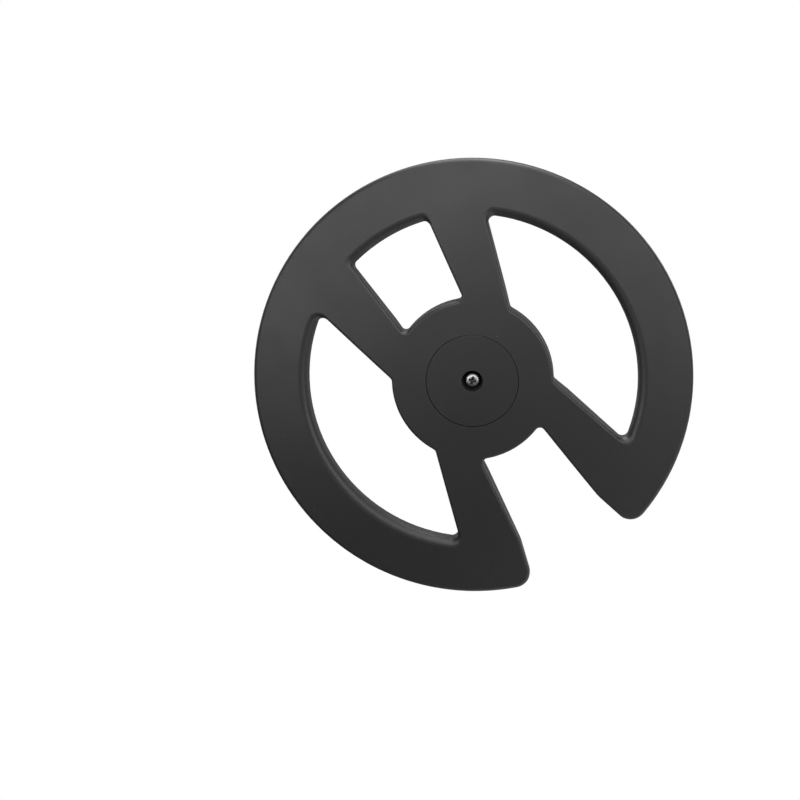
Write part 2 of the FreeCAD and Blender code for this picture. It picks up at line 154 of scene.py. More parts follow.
def apply_modifier(piece, kind, settings):
    pick(piece)
    bpy.ops.object.modifier_add(type=kind)
    modifier = piece.modifiers[-1]
    for name, value in settings.items():
        setattr(modifier, name, value)
    bpy.ops.object.modifier_apply(modifier=modifier.name)


def combine(piece, other, operation):
    """A Boolean of two closed meshes, whose second is then removed."""
    apply_modifier(piece, "BOOLEAN", {"operation": operation, "solver": "EXACT",
                                      "object": other})
    bpy.data.objects.remove(other)


def cut_off(place, outwards):
    """In edit mode: cuts off what lies beyond a plane and fills the cut."""
    bpy.ops.mesh.select_all(action="SELECT")
    bpy.ops.mesh.bisect(plane_co=place, plane_no=outwards, use_fill=True, clear_outer=True,
                        threshold=CUT_THRESHOLD)


print("a cut takes points within", CUT_THRESHOLD / MM, "mm of its plane as on it")

# %% A helper that winds a thread
FLAT_CREST = 1 / 8
FLANK = 5 / 16
THREAD_DEPTH = 0.6134
SPARE_TURNS = 2


def wind_thread(name, radius, pitch, start, end, steps):
    """A threaded rod from start to end, with 60 degree flanks and flat crests and roots."""
    root = radius - THREAD_DEPTH * pitch
    flat_root = 1 - FLAT_CREST - 2 * FLANK
    first = start - SPARE_TURNS * pitch
    corners = [(radius, first), (radius, first + FLAT_CREST * pitch),
               (root, first + (FLAT_CREST + FLANK) * pitch),
               (root, first + (FLAT_CREST + FLANK + flat_root) * pitch),
               (radius, first + pitch)]
    rod = draw_profile(name, corners)
    stop_editing()
    turns = math.ceil((end - start) / pitch) + 2 * SPARE_TURNS
    apply_modifier(rod, "SCREW", {"axis": "Y", "steps": steps, "render_steps": steps,
                                  "screw_offset": pitch * MM, "iterations": turns,
                                  "use_merge_vertices": True,
                                  "merge_threshold": MERGE_DISTANCE})
    start_editing(rod)
    clean_mesh()
    for place, side in ((start, -1), (end, 1)):
        cut_off((0, place * MM, 0), (0, side, 0))
    clean_mesh()
    stop_editing()
    print(name, "turns:", turns, "faces:", len(rod.data.polygons))
    return rod


# %% Helpers that finish a piece
BEVEL_LIMIT = math.radians(40)


def bevel_edges(piece, width):
    apply_modifier(piece, "BEVEL", {"width": width * MM, "segments": 2,
                                    "limit_method": "ANGLE", "angle_limit": BEVEL_LIMIT})


def finish_piece(piece, smooth_under):
    """Cleans the mesh and smooths each edge that bends by fewer degrees than that."""
    start_editing(piece)
    clean_mesh()
    stop_editing()
    pick(piece)
    bpy.ops.object.shade_smooth_by_angle(angle=math.radians(smooth_under))
    print(piece.name, "faces:", len(piece.data.polygons))


# %% [markdown]
# ## The threaded adapter
#
# Behind the disc sits a threaded aluminium adapter. Its spigot has a fine thread, M22 with a
# pitch of 1 mm, and its hexagonal flange takes a 30 mm wrench. The loaded solid has a plain
# spigot. Here the whole adapter is made again with its thread: first a turned blank, then six
# flats, then the threaded spigot.

# %% Turn the adapter's blank
ADAPTER_STEPS = 96
BORE = 2.05
SOCKET = (7.3, -3.2)
PILOT = (10.0, -5.7)
FLANGE_FRONT = -3.0
FLATS_WIDTH = 30
CORNER_RADIUS = FLATS_WIDTH / math.sqrt(3)
FLANGE_CHAMFER = 0.8
PILOT_CHAMFER = 0.3
SEAT_INSIDE = (11.6, -0.4)
UNDERCUT = (10.2, 1.6)

adapter = spin_profile("threaded_adapter", [
    (BORE, SOCKET[1]),
    SOCKET,
    (SOCKET[0], PILOT[1] + PILOT_CHAMFER),
    (SOCKET[0] + PILOT_CHAMFER, PILOT[1]),
    (PILOT[0] - PILOT_CHAMFER, PILOT[1]),
    (PILOT[0], PILOT[1] + PILOT_CHAMFER),
    (PILOT[0], FLANGE_FRONT),
    (CORNER_RADIUS - 2 * FLANGE_CHAMFER, FLANGE_FRONT),
    (CORNER_RADIUS, FLANGE_FRONT + FLANGE_CHAMFER),
    (CORNER_RADIUS, 0),
    (SEAT_INSIDE[0], 0),
    SEAT_INSIDE,
    (UNDERCUT[0], SEAT_INSIDE[1]),
    UNDERCUT,
    (BORE, UNDERCUT[1]),
    (BORE, SOCKET[1]),
], ADAPTER_STEPS)

# %% Cut the six flats
start_editing(adapter)
for side in range(6):
    angle = math.radians(60 * side)
    outwards = Vector((math.cos(angle), 0, math.sin(angle)))
    cut_off(outwards * (FLATS_WIDTH / 2 * MM), outwards)
clean_mesh()
stop_editing()
bevel_edges(adapter, width=0.15)
print("adapter's blank:", len(adapter.data.polygons), "faces")

# %% Thread the spigot
SPIGOT_RADIUS = 11
SPIGOT_END = 8
SPIGOT_CHAMFER = 0.9
SPIGOT_PITCH = 1.0
LEAD_IN_SLOPE = 0.6
THREAD_OVERLAP = 0.05
HAIR = 0.001
ROOM = 1.0

spigot = wind_thread("spigot_thread", SPIGOT_RADIUS, SPIGOT_PITCH,
                     UNDERCUT[1] - THREAD_OVERLAP, SPIGOT_END, ADAPTER_STEPS)
lead_in = spin_profile("spigot_lead_in", [
    (BORE, UNDERCUT[1] - ROOM),
    (UNDERCUT[0], UNDERCUT[1] - ROOM),
    (UNDERCUT[0], UNDERCUT[1]),
    (SPIGOT_RADIUS + ROOM,
     UNDERCUT[1] + (SPIGOT_RADIUS + ROOM - UNDERCUT[0]) * LEAD_IN_SLOPE),
    (SPIGOT_RADIUS + ROOM, SPIGOT_END - SPIGOT_CHAMFER - ROOM),
    (SPIGOT_RADIUS - SPIGOT_CHAMFER, SPIGOT_END + HAIR),
    (SPIGOT_RADIUS - SPIGOT_CHAMFER, SPIGOT_END + ROOM),
    (BORE, SPIGOT_END + ROOM),
    (BORE, UNDERCUT[1] - ROOM),
], ADAPTER_STEPS)
combine(spigot, lead_in, "INTERSECT")
combine(adapter, spigot, "UNION")
finish_piece(adapter, smooth_under=28)
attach(adapter, "root")
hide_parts("crank_adapter")

# %% [markdown]
# ## The centre screw
#
# One screw holds everything together, an M4 pan-head screw of zinc-plated steel. Its head is
# a low mushroom: almost flat on top, round at the edge. The recess is the familiar cross,
# which narrows as it goes down and ends in a small cone. It is cut with two tapered bars and
# a core, in the form of the punch that makes a real one. It stands turned by 44 degrees, as
# the driver left it.

# %% Turn the head
SCREW_STEPS = 64
WELL_FLOOR = -5.4
HEAD_TOP = -8.3
SCREW_TIP = 6.6
SCREW_RADIUS = 2.0
SCREW_PITCH = 0.7
TIP_CHAMFER = 0.6
HEAD_LOW = WELL_FLOOR - 0.25
NECK_FILLET = 0.3
STUB = (1.6, WELL_FLOOR + 0.5)

screw = spin_profile("pan_head_screw", [
    (0, HEAD_TOP), (0.8, HEAD_TOP + 0.01), (1.6, HEAD_TOP + 0.05), (2.2, HEAD_TOP + 0.15),
    (2.75, HEAD_TOP + 0.37), (3.2, HEAD_TOP + 0.7), (3.55, HEAD_TOP + 1.12),
    (3.8, HEAD_TOP + 1.62), (3.95, HEAD_TOP + 2.2), (4.0, HEAD_LOW), (3.88, WELL_FLOOR),
    (SCREW_RADIUS + NECK_FILLET, WELL_FLOOR), (SCREW_RADIUS, WELL_FLOOR + NECK_FILLET),
    STUB, (0, STUB[1]),
], SCREW_STEPS)

# %% Punch the cross recess
PUNCH_STEPS = 24
RECESS_SPAN = 4.4
RECESS_WIDTH = 1.05
RECESS_DEPTH = 1.9
SPAN_TAPER = 0.62
WIDTH_TAPER = 0.9
RECESS_TURN = math.radians(44)


def tapered_bar(name, along_x, along_z):
    """A bar that stands in the head from above and narrows towards its lower end."""
    deselect_all()
    height = RECESS_DEPTH + ROOM
    middle = (HEAD_TOP - ROOM) * MM + height * MM / 2
    bpy.ops.mesh.primitive_cube_add(size=1, location=(0, middle, 0))
    bar = bpy.context.active_object
    bar.name = name
    bar.scale = (along_x * MM, height * MM, along_z * MM)
    bpy.ops.object.transform_apply(location=True, scale=True)
    start_editing(bar)
    bpy.ops.mesh.select_mode(type="VERT")
    bpy.ops.mesh.select_all(action="DESELECT")
    stop_editing()
    for vertex in bar.data.vertices:
        vertex.select = vertex.co.y > HEAD_TOP * MM
    start_editing(bar)
    lies_along_x = along_x > along_z
    bpy.ops.transform.resize(value=(SPAN_TAPER if lies_along_x else WIDTH_TAPER, 1,
                                    WIDTH_TAPER if lies_along_x else SPAN_TAPER))
    clean_mesh()
    stop_editing()
    bar.rotation_euler.y = RECESS_TURN
    pick(bar)
    bpy.ops.object.transform_apply(rotation=True)
    bevel_edges(bar, width=0.08)
    return bar


for name, along_x, along_z in (("bar_one", RECESS_SPAN, RECESS_WIDTH),
                               ("bar_two", RECESS_WIDTH, RECESS_SPAN)):
    combine(screw, tapered_bar(name, along_x, along_z), "DIFFERENCE")
punch = spin_profile("punch_core", [
    (0, HEAD_TOP - ROOM), (1.25, HEAD_TOP - ROOM), (1.15, HEAD_TOP + 0.2),
    (0.75, HEAD_TOP + RECESS_DEPTH - 0.1), (0, HEAD_TOP + RECESS_DEPTH + 0.35),
], PUNCH_STEPS)
combine(screw, punch, "DIFFERENCE")
print("head with recess:", len(screw.data.polygons), "faces")

# %% Thread the shank
SHANK_STEPS = 48

shank = wind_thread("shank_thread", SCREW_RADIUS, SCREW_PITCH, WELL_FLOOR + NECK_FILLET,
                    SCREW_TIP, SHANK_STEPS)
shank_end = spin_profile("shank_end", [
    (0, WELL_FLOOR - ROOM),
    (SCREW_RADIUS + ROOM, WELL_FLOOR - ROOM),
    (SCREW_RADIUS + ROOM, SCREW_TIP - TIP_CHAMFER - ROOM),
    (SCREW_RADIUS - TIP_CHAMFER, SCREW_TIP + HAIR),
    (SCREW_RADIUS - TIP_CHAMFER, SCREW_TIP + ROOM),
    (0, SCREW_TIP + ROOM),
], SHANK_STEPS)
combine(shank, shank_end, "INTERSECT")
combine(screw, shank, "UNION")
finish_piece(screw, smooth_under=32)
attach(screw, "root")
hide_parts("centre_screw")

# %% [markdown]
# ## Shared effects
#
# The two plastic pieces and the two metal ones share a few effects. Each is a node group
# that is built once, with its own inputs, and gives out masks and heights only. All of them
# read Object coordinates, which are metres here, so the grain keeps its real size. A few
# helpers place the nodes: each takes plain values or the sockets of other nodes.

# %% Helpers that start a node group and end it
def feed(tree, socket, value):
    """Sets a socket to a plain number or colour, or links another node's socket to it."""
    if isinstance(value, tuple):
        socket.default_value = (*value, 1)
    elif isinstance(value, (int, float)):
        socket.default_value = value
    else:
        tree.links.new(value, socket)


def new_group(name, **inputs):
    """A shader group with number inputs, given by their names and default values."""
    group = bpy.data.node_groups.new(name, "ShaderNodeTree")
    for label, value in inputs.items():
        socket = group.interface.new_socket(label.replace("_", " "), in_out="INPUT",
                                            socket_type="NodeSocketFloat")
        socket.default_value = value
    return group, group.nodes.new("NodeGroupInput").outputs


def give_out(group, **results):
    """Ends a group: each result is a socket inside it and gets an output of its name."""
    for label in results:
        group.interface.new_socket(label, in_out="OUTPUT", socket_type="NodeSocketFloat")
    end = group.nodes.new("NodeGroupOutput")
    for label, result in results.items():
        group.links.new(result, end.inputs[label])
    print(group.name, "nodes:", len(group.nodes))


# %% Helpers that place single nodes
PER_MM = 1 / MM


def math_node(tree, operation, first, second=None, clamp=False):
    """A Math node whose inputs are sockets or plain numbers."""
    node = tree.nodes.new("ShaderNodeMath")
    node.operation = operation
    node.use_clamp = clamp
    feed(tree, node.inputs[0], first)
    if second is not None:
        feed(tree, node.inputs[1], second)
    return node.outputs[0]


def ramp_between(tree, value, low, high, to_low=0.0, to_high=1.0):
    """A Map Range node that takes low..high to to_low..to_high and stays inside."""
    node = tree.nodes.new("ShaderNodeMapRange")
    node.inputs["From Min"].default_value = low
    node.inputs["From Max"].default_value = high
    node.inputs["To Min"].default_value = to_low
    node.inputs["To Max"].default_value = to_high
    tree.links.new(value, node.inputs["Value"])
    return node.outputs["Result"]


def noise(tree, coordinates, scale, detail, roughness=0.5):
    """A Noise Texture; scale is a number or a socket."""
    node = tree.nodes.new("ShaderNodeTexNoise")
    node.inputs["Detail"].default_value = detail
    node.inputs["Roughness"].default_value = roughness
    feed(tree, node.inputs["Vector"], coordinates)
    feed(tree, node.inputs["Scale"], scale)
    return node.outputs["Fac"]


# %% Helpers that tell where a point of the surface is
def object_place(tree):
    """The point's place on the object, in metres."""
    return tree.nodes.new("ShaderNodeTexCoord").outputs["Object"]


def split_axes(tree, place):
    """A place split into its X, Y and Z."""
    node = tree.nodes.new("ShaderNodeSeparateXYZ")
    feed(tree, node.inputs[0], place)
    return node.outputs


def square_from_axis(tree, axes):
    """The square of the distance from the hub's axis, which is Y, in square metres."""
    return math_node(tree, "ADD", math_node(tree, "POWER", axes["X"], 2.0),
                     math_node(tree, "POWER", axes["Z"], 2.0))


def per_size(tree, size):
    """The scale of a pattern whose features have the size in mm that a socket gives."""
    return math_node(tree, "DIVIDE", PER_MM, size)


# %% [markdown]
# ### The skin of a moulding
#
# A mould is spark-eroded, and the plastic copies its fine, even grain of a third of a
# millimetre. The plastic flows in from the middle and leaves soft clouds that are a little
# duller or darker. A few bright specks of dust and nib lie on it, as on any black plastic:
# each cell of a Voronoi pattern has one, and the cell's random colour makes most of them too
# small to see. Their size is a share of the spacing.

# %% Build the group for moulded skin
skin, sizes = new_group("moulded_skin", Grain_Size=0.35, Cloud_Size=28.0, Speck_Spacing=7.0)
place = object_place(skin)
grain = noise(skin, place, per_size(skin, sizes["Grain Size"]), detail=3, roughness=0.6)
cloud_scale = per_size(skin, sizes["Cloud Size"])
clouds = noise(skin, place, cloud_scale, detail=4, roughness=0.55)
flow = noise(skin, place, math_node(skin, "MULTIPLY", cloud_scale, 0.9), detail=1,
             roughness=0.4)
print("grain, clouds and flow:", len(skin.nodes), "nodes")

# %% Strew the specks and end the group
LARGEST_SPECK = 0.05
FEW_LARGE = 5.0
SPECK_EDGE = 60.0

cells = skin.nodes.new("ShaderNodeTexVoronoi")
cells.feature = "F1"
feed(skin, cells.inputs["Vector"], place)
feed(skin, cells.inputs["Scale"], per_size(skin, sizes["Speck Spacing"]))
cell_lot = skin.nodes.new("ShaderNodeSeparateColor")
feed(skin, cell_lot.inputs[0], cells.outputs["Color"])
speck_radius = math_node(skin, "MULTIPLY",
                         math_node(skin, "POWER", cell_lot.outputs[0], FEW_LARGE),
                         LARGEST_SPECK)
inside = math_node(skin, "SUBTRACT", speck_radius, cells.outputs["Distance"])
specks = math_node(skin, "MULTIPLY", inside, SPECK_EDGE, clamp=True)
give_out(skin, Grain=grain, Clouds=ramp_between(skin, clouds, low=0.3, high=0.7),
         Specks=specks, Flow=flow)

# %% [markdown]
# ### Rubbed edges
#
# Hands, trouser legs and boxes touch the edges first and polish them. The Bevel node gives
# the normal that a rounder edge would have. Where it differs from the true normal there is
# an edge, and a little noise keeps the rubbed line from being even.

# %% Build the group for rubbed edges
rub, sizes = new_group("rubbed_edges", Radius=0.8, Strength=4.0, Patch_Size=6.0)
place = object_place(rub)
rounder = rub.nodes.new("ShaderNodeBevel")
rounder.samples = 4
feed(rub, rounder.inputs["Radius"], math_node(rub, "MULTIPLY", sizes["Radius"], MM))
agreement = rub.nodes.new("ShaderNodeVectorMath")
agreement.operation = "DOT_PRODUCT"
feed(rub, agreement.inputs[0], rounder.outputs[0])
feed(rub, agreement.inputs[1], rub.nodes.new("ShaderNodeNewGeometry").outputs["Normal"])
bend = math_node(rub, "SUBTRACT", 1.0, agreement.outputs["Value"])
patches = noise(rub, place, per_size(rub, sizes["Patch Size"]), detail=3)
uneven = ramp_between(rub, patches, low=0.35, high=0.65, to_low=0.35)
worn = math_node(rub, "MULTIPLY", math_node(rub, "MULTIPLY", bend, sizes["Strength"]),
                 uneven, clamp=True)
give_out(rub, Rubbed=worn)

# %% [markdown]
# ### Marks of the lathe
#
# A turned surface keeps the tool's path: fine rings round the axis, on ends and on cylinders
# alike. A noise that varies only with the radius and the depth draws both. The marks give
# metal its silky, drawn-out highlights.

# %% Build the group for lathe marks
marks, sizes = new_group("lathe_marks", Ring_Size=0.12, Stain_Size=5.0)
place = object_place(marks)
axes = split_axes(marks, place)
ring_place = marks.nodes.new("ShaderNodeCombineXYZ")
feed(marks, ring_place.inputs["X"], math_node(marks, "SQRT", square_from_axis(marks, axes)))
feed(marks, ring_place.inputs["Y"], axes["Y"])
rings = noise(marks, ring_place.outputs[0], per_size(marks, sizes["Ring Size"]), detail=2,
              roughness=0.6)
stains = noise(marks, place, per_size(marks, sizes["Stain Size"]), detail=4,
               roughness=0.6)
give_out(marks, Rings=rings, Stains=ramp_between(marks, stains, low=0.35, high=0.7))

# %% [markdown]
# ### Shade in a sunk well
#
# The wall of the well round the screw gets painted shade: its colour is blacker than the
# face's, and its finish duller. The well is round the hub's axis, so its wall is simply what
# lies nearer to the axis than the rim of the well. The mask takes that radius.

# %% Build the group for the well
hollow, sizes = new_group("sunk_well", Radius=5.0, Softness=0.25)
# The mask marks the wall of the well, which gets painted shade.
axes = split_axes(hollow, object_place(hollow))
distance = math_node(hollow, "SQRT", square_from_axis(hollow, axes))
inwards = math_node(hollow, "SUBTRACT", sizes["Radius"],
                    math_node(hollow, "MULTIPLY", distance, PER_MM))
give_out(hollow, Hollow=math_node(hollow, "DIVIDE", inwards, sizes["Softness"], clamp=True))

# %% [markdown]
# ### Walls and back in the shade
#
# The walls of the openings and the ribbed back get painted shade: their colour is a deeper
# black than the face's, and their finish is duller. The face is a shallow dome, which falls
# back with the square of the distance from the axis. The mask measures how far a point lies
# behind that dome.

# %% Build the group for what lies behind the face
DOME_FRONT = -10.0
DOME_RADIUS = 474.0

behind, sizes = new_group("behind_the_face", Start=2.0, Softness=2.0)
# The mask marks where painted shade goes: the walls of the openings and the back.
axes = split_axes(behind, object_place(behind))
fall = math_node(behind, "MULTIPLY", square_from_axis(behind, axes),
                 PER_MM ** 2 / (2 * DOME_RADIUS))
depth = math_node(behind, "SUBTRACT", math_node(behind, "MULTIPLY", axes["Y"], PER_MM),
                  math_node(behind, "ADD", fall, DOME_FRONT))
past_start = math_node(behind, "SUBTRACT", depth, sizes["Start"])
give_out(behind, Behind=math_node(behind, "DIVIDE", past_start, sizes["Softness"], clamp=True))

# %% [markdown]
# ## Black plastic
#
# The disc is nylon filled with soot: nearly black, satin, with a faint cool tint. Its true
# colour is darker than it looks, because the soft light that it mirrors lifts it to a dark
# grey. One flat colour would look like a drawing, so the colour is laid on in coats, each
# through its own mask: clouds, specks, painted shade on the walls and the back, rubbed edges,
# and painted shade in the well. Clouds, rubbing and both painted shades change the roughness
# too, and the grain and a faint flow of the plastic go to the bump. The centre plate is the
# same plastic from another mould, slightly finer.

# %% Helpers that start a finish and put it on
def new_finish(name):
    finish = bpy.data.materials.new(name)
    finish.use_nodes = True
    return finish, finish.node_tree, finish.node_tree.nodes["Principled BSDF"]


def place_group(tree, group, **values):
    """Places a shared effect with its own values and gives its outputs."""
    node = tree.nodes.new("ShaderNodeGroup")
    node.node_tree = group
    for label, value in values.items():
        node.inputs[label.replace("_", " ")].default_value = value
    return node.outputs


def dress(piece, finish):
    piece.data.materials.clear()
    piece.data.materials.append(finish)
    print(finish.name, "on", piece.name)


# %% Helpers that mix colours and raise a bump
def mix_colours(tree, mask, first, second):
    """A Mix node; each colour is a socket or a plain triple."""
    node = tree.nodes.new("ShaderNodeMix")
    node.data_type = "RGBA"
    feed(tree, node.inputs[0], mask)
    feed(tree, node.inputs[6], first)
    feed(tree, node.inputs[7], second)
    return node.outputs[2]


def bump(tree, height, strength, rise, normal=None):
    """A Bump node; rise is in mm, and normal may be another bump under it."""
    node = tree.nodes.new("ShaderNodeBump")
    node.inputs["Strength"].default_value = strength
    node.inputs["Distance"].default_value = rise * MM
    feed(tree, node.inputs["Height"], height)
    if normal is not None:
        feed(tree, node.inputs["Normal"], normal)
    return node.outputs[0]


# %% Mix the black plastic
SPECK_GREY = (0.16, 0.16, 0.16)
# painted shade on the walls of the openings and on the back
PAINTED_SHADE_BLACK = (0.0105, 0.0105, 0.0113)
RUBBED_GREY = (0.05, 0.05, 0.052)
# painted shade on the wall of the well round the screw
WELL_SHADE_BLACK = (0.002, 0.002, 0.002)
RUBBED_POLISH = 0.08
WELL_DULLNESS = 0.35
SHADE_DULLNESS = 0.28


def black_plastic(name, grain_size, cloud_size, dark, light, roughness):
    finish, tree, shader = new_finish(name)
    moulded = place_group(tree, skin, Grain_Size=grain_size, Cloud_Size=cloud_size,
                          Speck_Spacing=7.0)
    shaded = place_group(tree, behind, Start=2.0, Softness=2.0)["Behind"]
    rubbed = place_group(tree, rub, Radius=0.9, Strength=3.0, Patch_Size=9.0)["Rubbed"]
    sunk = place_group(tree, hollow, Radius=5.3, Softness=0.25)["Hollow"]

    colour = mix_colours(tree, moulded["Clouds"], dark, light)
    for mask, strength, coat in ((moulded["Specks"], 0.5, SPECK_GREY),
                                 (shaded, 1.0, PAINTED_SHADE_BLACK),
                                 (rubbed, 0.5, RUBBED_GREY),
                                 (sunk, 1.0, WELL_SHADE_BLACK)):
        colour = mix_colours(tree, math_node(tree, "MULTIPLY", mask, strength), colour, coat)
    feed(tree, shader.inputs["Base Color"], colour)

    satin = ramp_between(tree, moulded["Clouds"], low=0.0, high=1.0,
                         to_low=roughness + 0.04, to_high=roughness - 0.03)
    polished = math_node(tree, "SUBTRACT", satin,
                         math_node(tree, "MULTIPLY", rubbed, RUBBED_POLISH))
    duller = math_node(tree, "MAXIMUM", math_node(tree, "MULTIPLY", sunk, WELL_DULLNESS),
                       math_node(tree, "MULTIPLY", shaded, SHADE_DULLNESS))
    feed(tree, shader.inputs["Roughness"], math_node(tree, "ADD", polished, duller))

    flow = bump(tree, moulded["Flow"], strength=0.3, rise=0.25)
    feed(tree, shader.inputs["Normal"],
         bump(tree, moulded["Grain"], strength=0.55, rise=0.03, normal=flow))
    shader.inputs["IOR"].default_value = 1.5
    return finish


# %% Put the plastic on the disc and on the plate
dress(nodes["guard_disc"],
      black_plastic("black_plastic_disc", grain_size=0.38, cloud_size=30.0,
                    dark=(0.0120, 0.0120, 0.0132), light=(0.0170, 0.0170, 0.0184),
                    roughness=0.44))
dress(nodes["centre_plate"],
      black_plastic("black_plastic_plate", grain_size=0.30, cloud_size=18.0,
                    dark=(0.0116, 0.0116, 0.0128), light=(0.0162, 0.0162, 0.0175),
                    roughness=0.43))

# %% [markdown]
# ## Metals
#
# The adapter is turned aluminium, left bare: pale, with rings and a few dull stains. The
# screw is steel with bright zinc. Its recess and the edge of its head get painted shade: below
# the crown their colour is darker. A metal has no colour of its own under its gloss: the base
# colour is the colour of what it mirrors, and stains make it rougher.

# %% A helper for a turned metal's gloss
def turn_metal(tree, shader, turned, clean, stained, strength, rise):
    """Sets the gloss: clean and stained are roughnesses, the rings' rise is in mm."""
    shader.inputs["Metallic"].default_value = 1
    feed(tree, shader.inputs["Roughness"],
         ramp_between(tree, turned["Stains"], low=0, high=1, to_low=clean, to_high=stained))
    feed(tree, shader.inputs["Normal"], bump(tree, turned["Rings"], strength, rise))


# %% Mix the aluminium
finish, tree, shader = new_finish("turned_aluminium")
turned = place_group(tree, marks, Ring_Size=0.16, Stain_Size=6.0)
rubbed = place_group(tree, rub, Radius=0.3, Strength=3.0, Patch_Size=3.0)["Rubbed"]
metal = mix_colours(tree, turned["Stains"], (0.70, 0.71, 0.72), (0.58, 0.585, 0.59))
feed(tree, shader.inputs["Base Color"],
     mix_colours(tree, rubbed, metal, (0.80, 0.80, 0.81)))
turn_metal(tree, shader, turned, clean=0.30, stained=0.42, strength=0.5, rise=0.012)
dress(adapter, finish)

# %% Mix the zinc-plated steel
# painted shade on the screw's recess and on the edge of its head, deeper than the crown
SCREW_SHADE_BLACK = (0.02, 0.02, 0.02)
SCREW_SHADE_SHARE = 0.95
CROWN_EDGE = HEAD_TOP + 0.45
SHADE_START = HEAD_TOP + 1.0

finish, tree, shader = new_finish("zinc_plated_steel")
turned = place_group(tree, marks, Ring_Size=0.1, Stain_Size=1.6)
rubbed = place_group(tree, rub, Radius=0.15, Strength=3.0, Patch_Size=1.0)["Rubbed"]
metal = mix_colours(tree, turned["Stains"], (0.47, 0.475, 0.48), (0.30, 0.305, 0.31))
bright = mix_colours(tree, rubbed, metal, (0.62, 0.63, 0.64))
below_crown = ramp_between(tree, split_axes(tree, object_place(tree))["Y"],
                           low=CROWN_EDGE * MM, high=SHADE_START * MM)
painted_screw_shade = math_node(tree, "MULTIPLY", below_crown, SCREW_SHADE_SHARE)
feed(tree, shader.inputs["Base Color"], mix_colours(tree, painted_screw_shade, bright, SCREW_SHADE_BLACK))
turn_metal(tree, shader, turned, clean=0.34, stained=0.48, strength=0.4, rise=0.008)
dress(screw, finish)

# %% [markdown]
# ## Where the camera stands
#
# The part's own frame has the slot straight down. In the photo the disc stands turned by
# about 31 degrees. A part is never turned to suit a picture, so the camera is turned instead:
# it stands where the photo was taken from, seen from the part, and rolls by the same angle.
# The direction and the distance were read off the photo: the camera is a little to the right
# of the hub's axis and ten degrees above it, about 2.5 m away.

# %% Photo's frame, camera's direction and roll
PHOTO_SIDE = 800
HUB_PIXEL = (472.2, 380.95)
MM_PER_PIXEL = 0.4697
CAMERA_DISTANCE = 2.5
SENSOR_WIDTH = 36
PHOTO_AZIMUTH = math.radians(2.2)
PHOTO_ELEVATION = math.radians(10.2)
DISC_TURN = math.radians(31.4)


def from_photo(right, back, up):
    """A direction given as the photo shows it, in the part's own frame."""
    return Matrix.Rotation(DISC_TURN, 3, "Y") @ Vector((right, back, up))


def towards(azimuth, elevation):
    """The unit vector from the part towards a place round it, as the photo shows them."""
    return from_photo(math.sin(azimuth) * math.cos(elevation),
                      -math.cos(azimuth) * math.cos(elevation),
                      math.sin(elevation))


photo_up = from_photo(0, 0, 1)
to_camera = towards(PHOTO_AZIMUTH, PHOTO_ELEVATION)
hub_front = Vector((0, cad_box[0].y, 0))
print("camera's up in the part's frame:", [round(c, 3) for c in photo_up])
print("towards the camera:", [round(c, 3) for c in to_camera])

# %% Make the camera
camera_data = bpy.data.cameras.new("camera")
camera = bpy.data.objects.new("camera", camera_data)
bpy.context.scene.collection.objects.link(camera)
bpy.context.scene.camera = camera
metres_per_pixel = MM_PER_PIXEL * MM
camera_data.sensor_width = SENSOR_WIDTH
camera_data.lens = SENSOR_WIDTH * CAMERA_DISTANCE / (metres_per_pixel * PHOTO_SIDE)
print("lens in mm:", round(camera_data.lens, 1))

# %% Aim it so that the hub lands on its pixel
camera_right = (-to_camera).cross(photo_up).normalized()
camera_up = camera_right.cross(-to_camera)
across = (PHOTO_SIDE / 2 - HUB_PIXEL[0]) * metres_per_pixel
upward = (HUB_PIXEL[1] - PHOTO_SIDE / 2) * metres_per_pixel
aim = hub_front + camera_right * across + camera_up * upward
camera.location = hub_front + to_camera * CAMERA_DISTANCE
backward = (camera.location - aim).normalized()
sideways = photo_up.cross(backward).normalized()
upright = backward.cross(sideways)
camera.rotation_euler = Matrix((sideways, upright, backward)).transposed().to_euler()
print("camera aims at, in mm:", [round(c / MM, 1) for c in aim])

# %% [markdown]
# ## The floor and the white surroundings
#
# The photo has a plain white ground. Here that is a wide pale floor well below the part, and
# a world that is white where the camera looks into it. Near the part the floor shows some of
# its own paint, which takes a soft shadow. Shiny surfaces mirror a little of the white too, on
# the floor and behind the part, while towards the front they mirror a dim room, as in a
# studio. The Light Path node tells which kind of ray asks.

# %% Helpers that show the white to some rays only
MIRRORED_SHARE = 0.08


def sees_white(tree, mirrored_share):
    """1 for a camera ray, and a share for a mirrored or transmitted one."""
    rays = tree.nodes.new("ShaderNodeLightPath")
    mirrored = math_node(tree, "MAXIMUM", rays.outputs["Is Glossy Ray"],
                         rays.outputs["Is Transmission Ray"])
    return math_node(tree, "MAXIMUM", rays.outputs["Is Camera Ray"],
                     math_node(tree, "MULTIPLY", mirrored, mirrored_share))


def mix_shaders(tree, mask, first, second, output):
    """Mixes two shader nodes by a mask and sends the result to an output node."""
    mix = tree.nodes.new("ShaderNodeMixShader")
    feed(tree, mix.inputs["Fac"], mask)
    feed(tree, mix.inputs[1], first.outputs[0])
    feed(tree, mix.inputs[2], second.outputs[0])
    feed(tree, output.inputs["Surface"], mix.outputs[0])


# %% Make the floor
FLOOR_DROP = 0.6
FLOOR_SIZE = 1.2

deselect_all()
bpy.ops.mesh.primitive_plane_add(size=FLOOR_SIZE, location=(0, 0, cad_box[0].z - FLOOR_DROP))
floor = bpy.context.active_object
floor.name = "floor"
print("floor at a height of", round(cad_box[0].z - FLOOR_DROP, 3), "m")

# %% Give the floor its finish
PALE_GREY = (0.86, 0.86, 0.86)
MATT = 0.9
WHITE_NEAR = 0.8
FADE_START = 0.25
FADE_END = 0.55

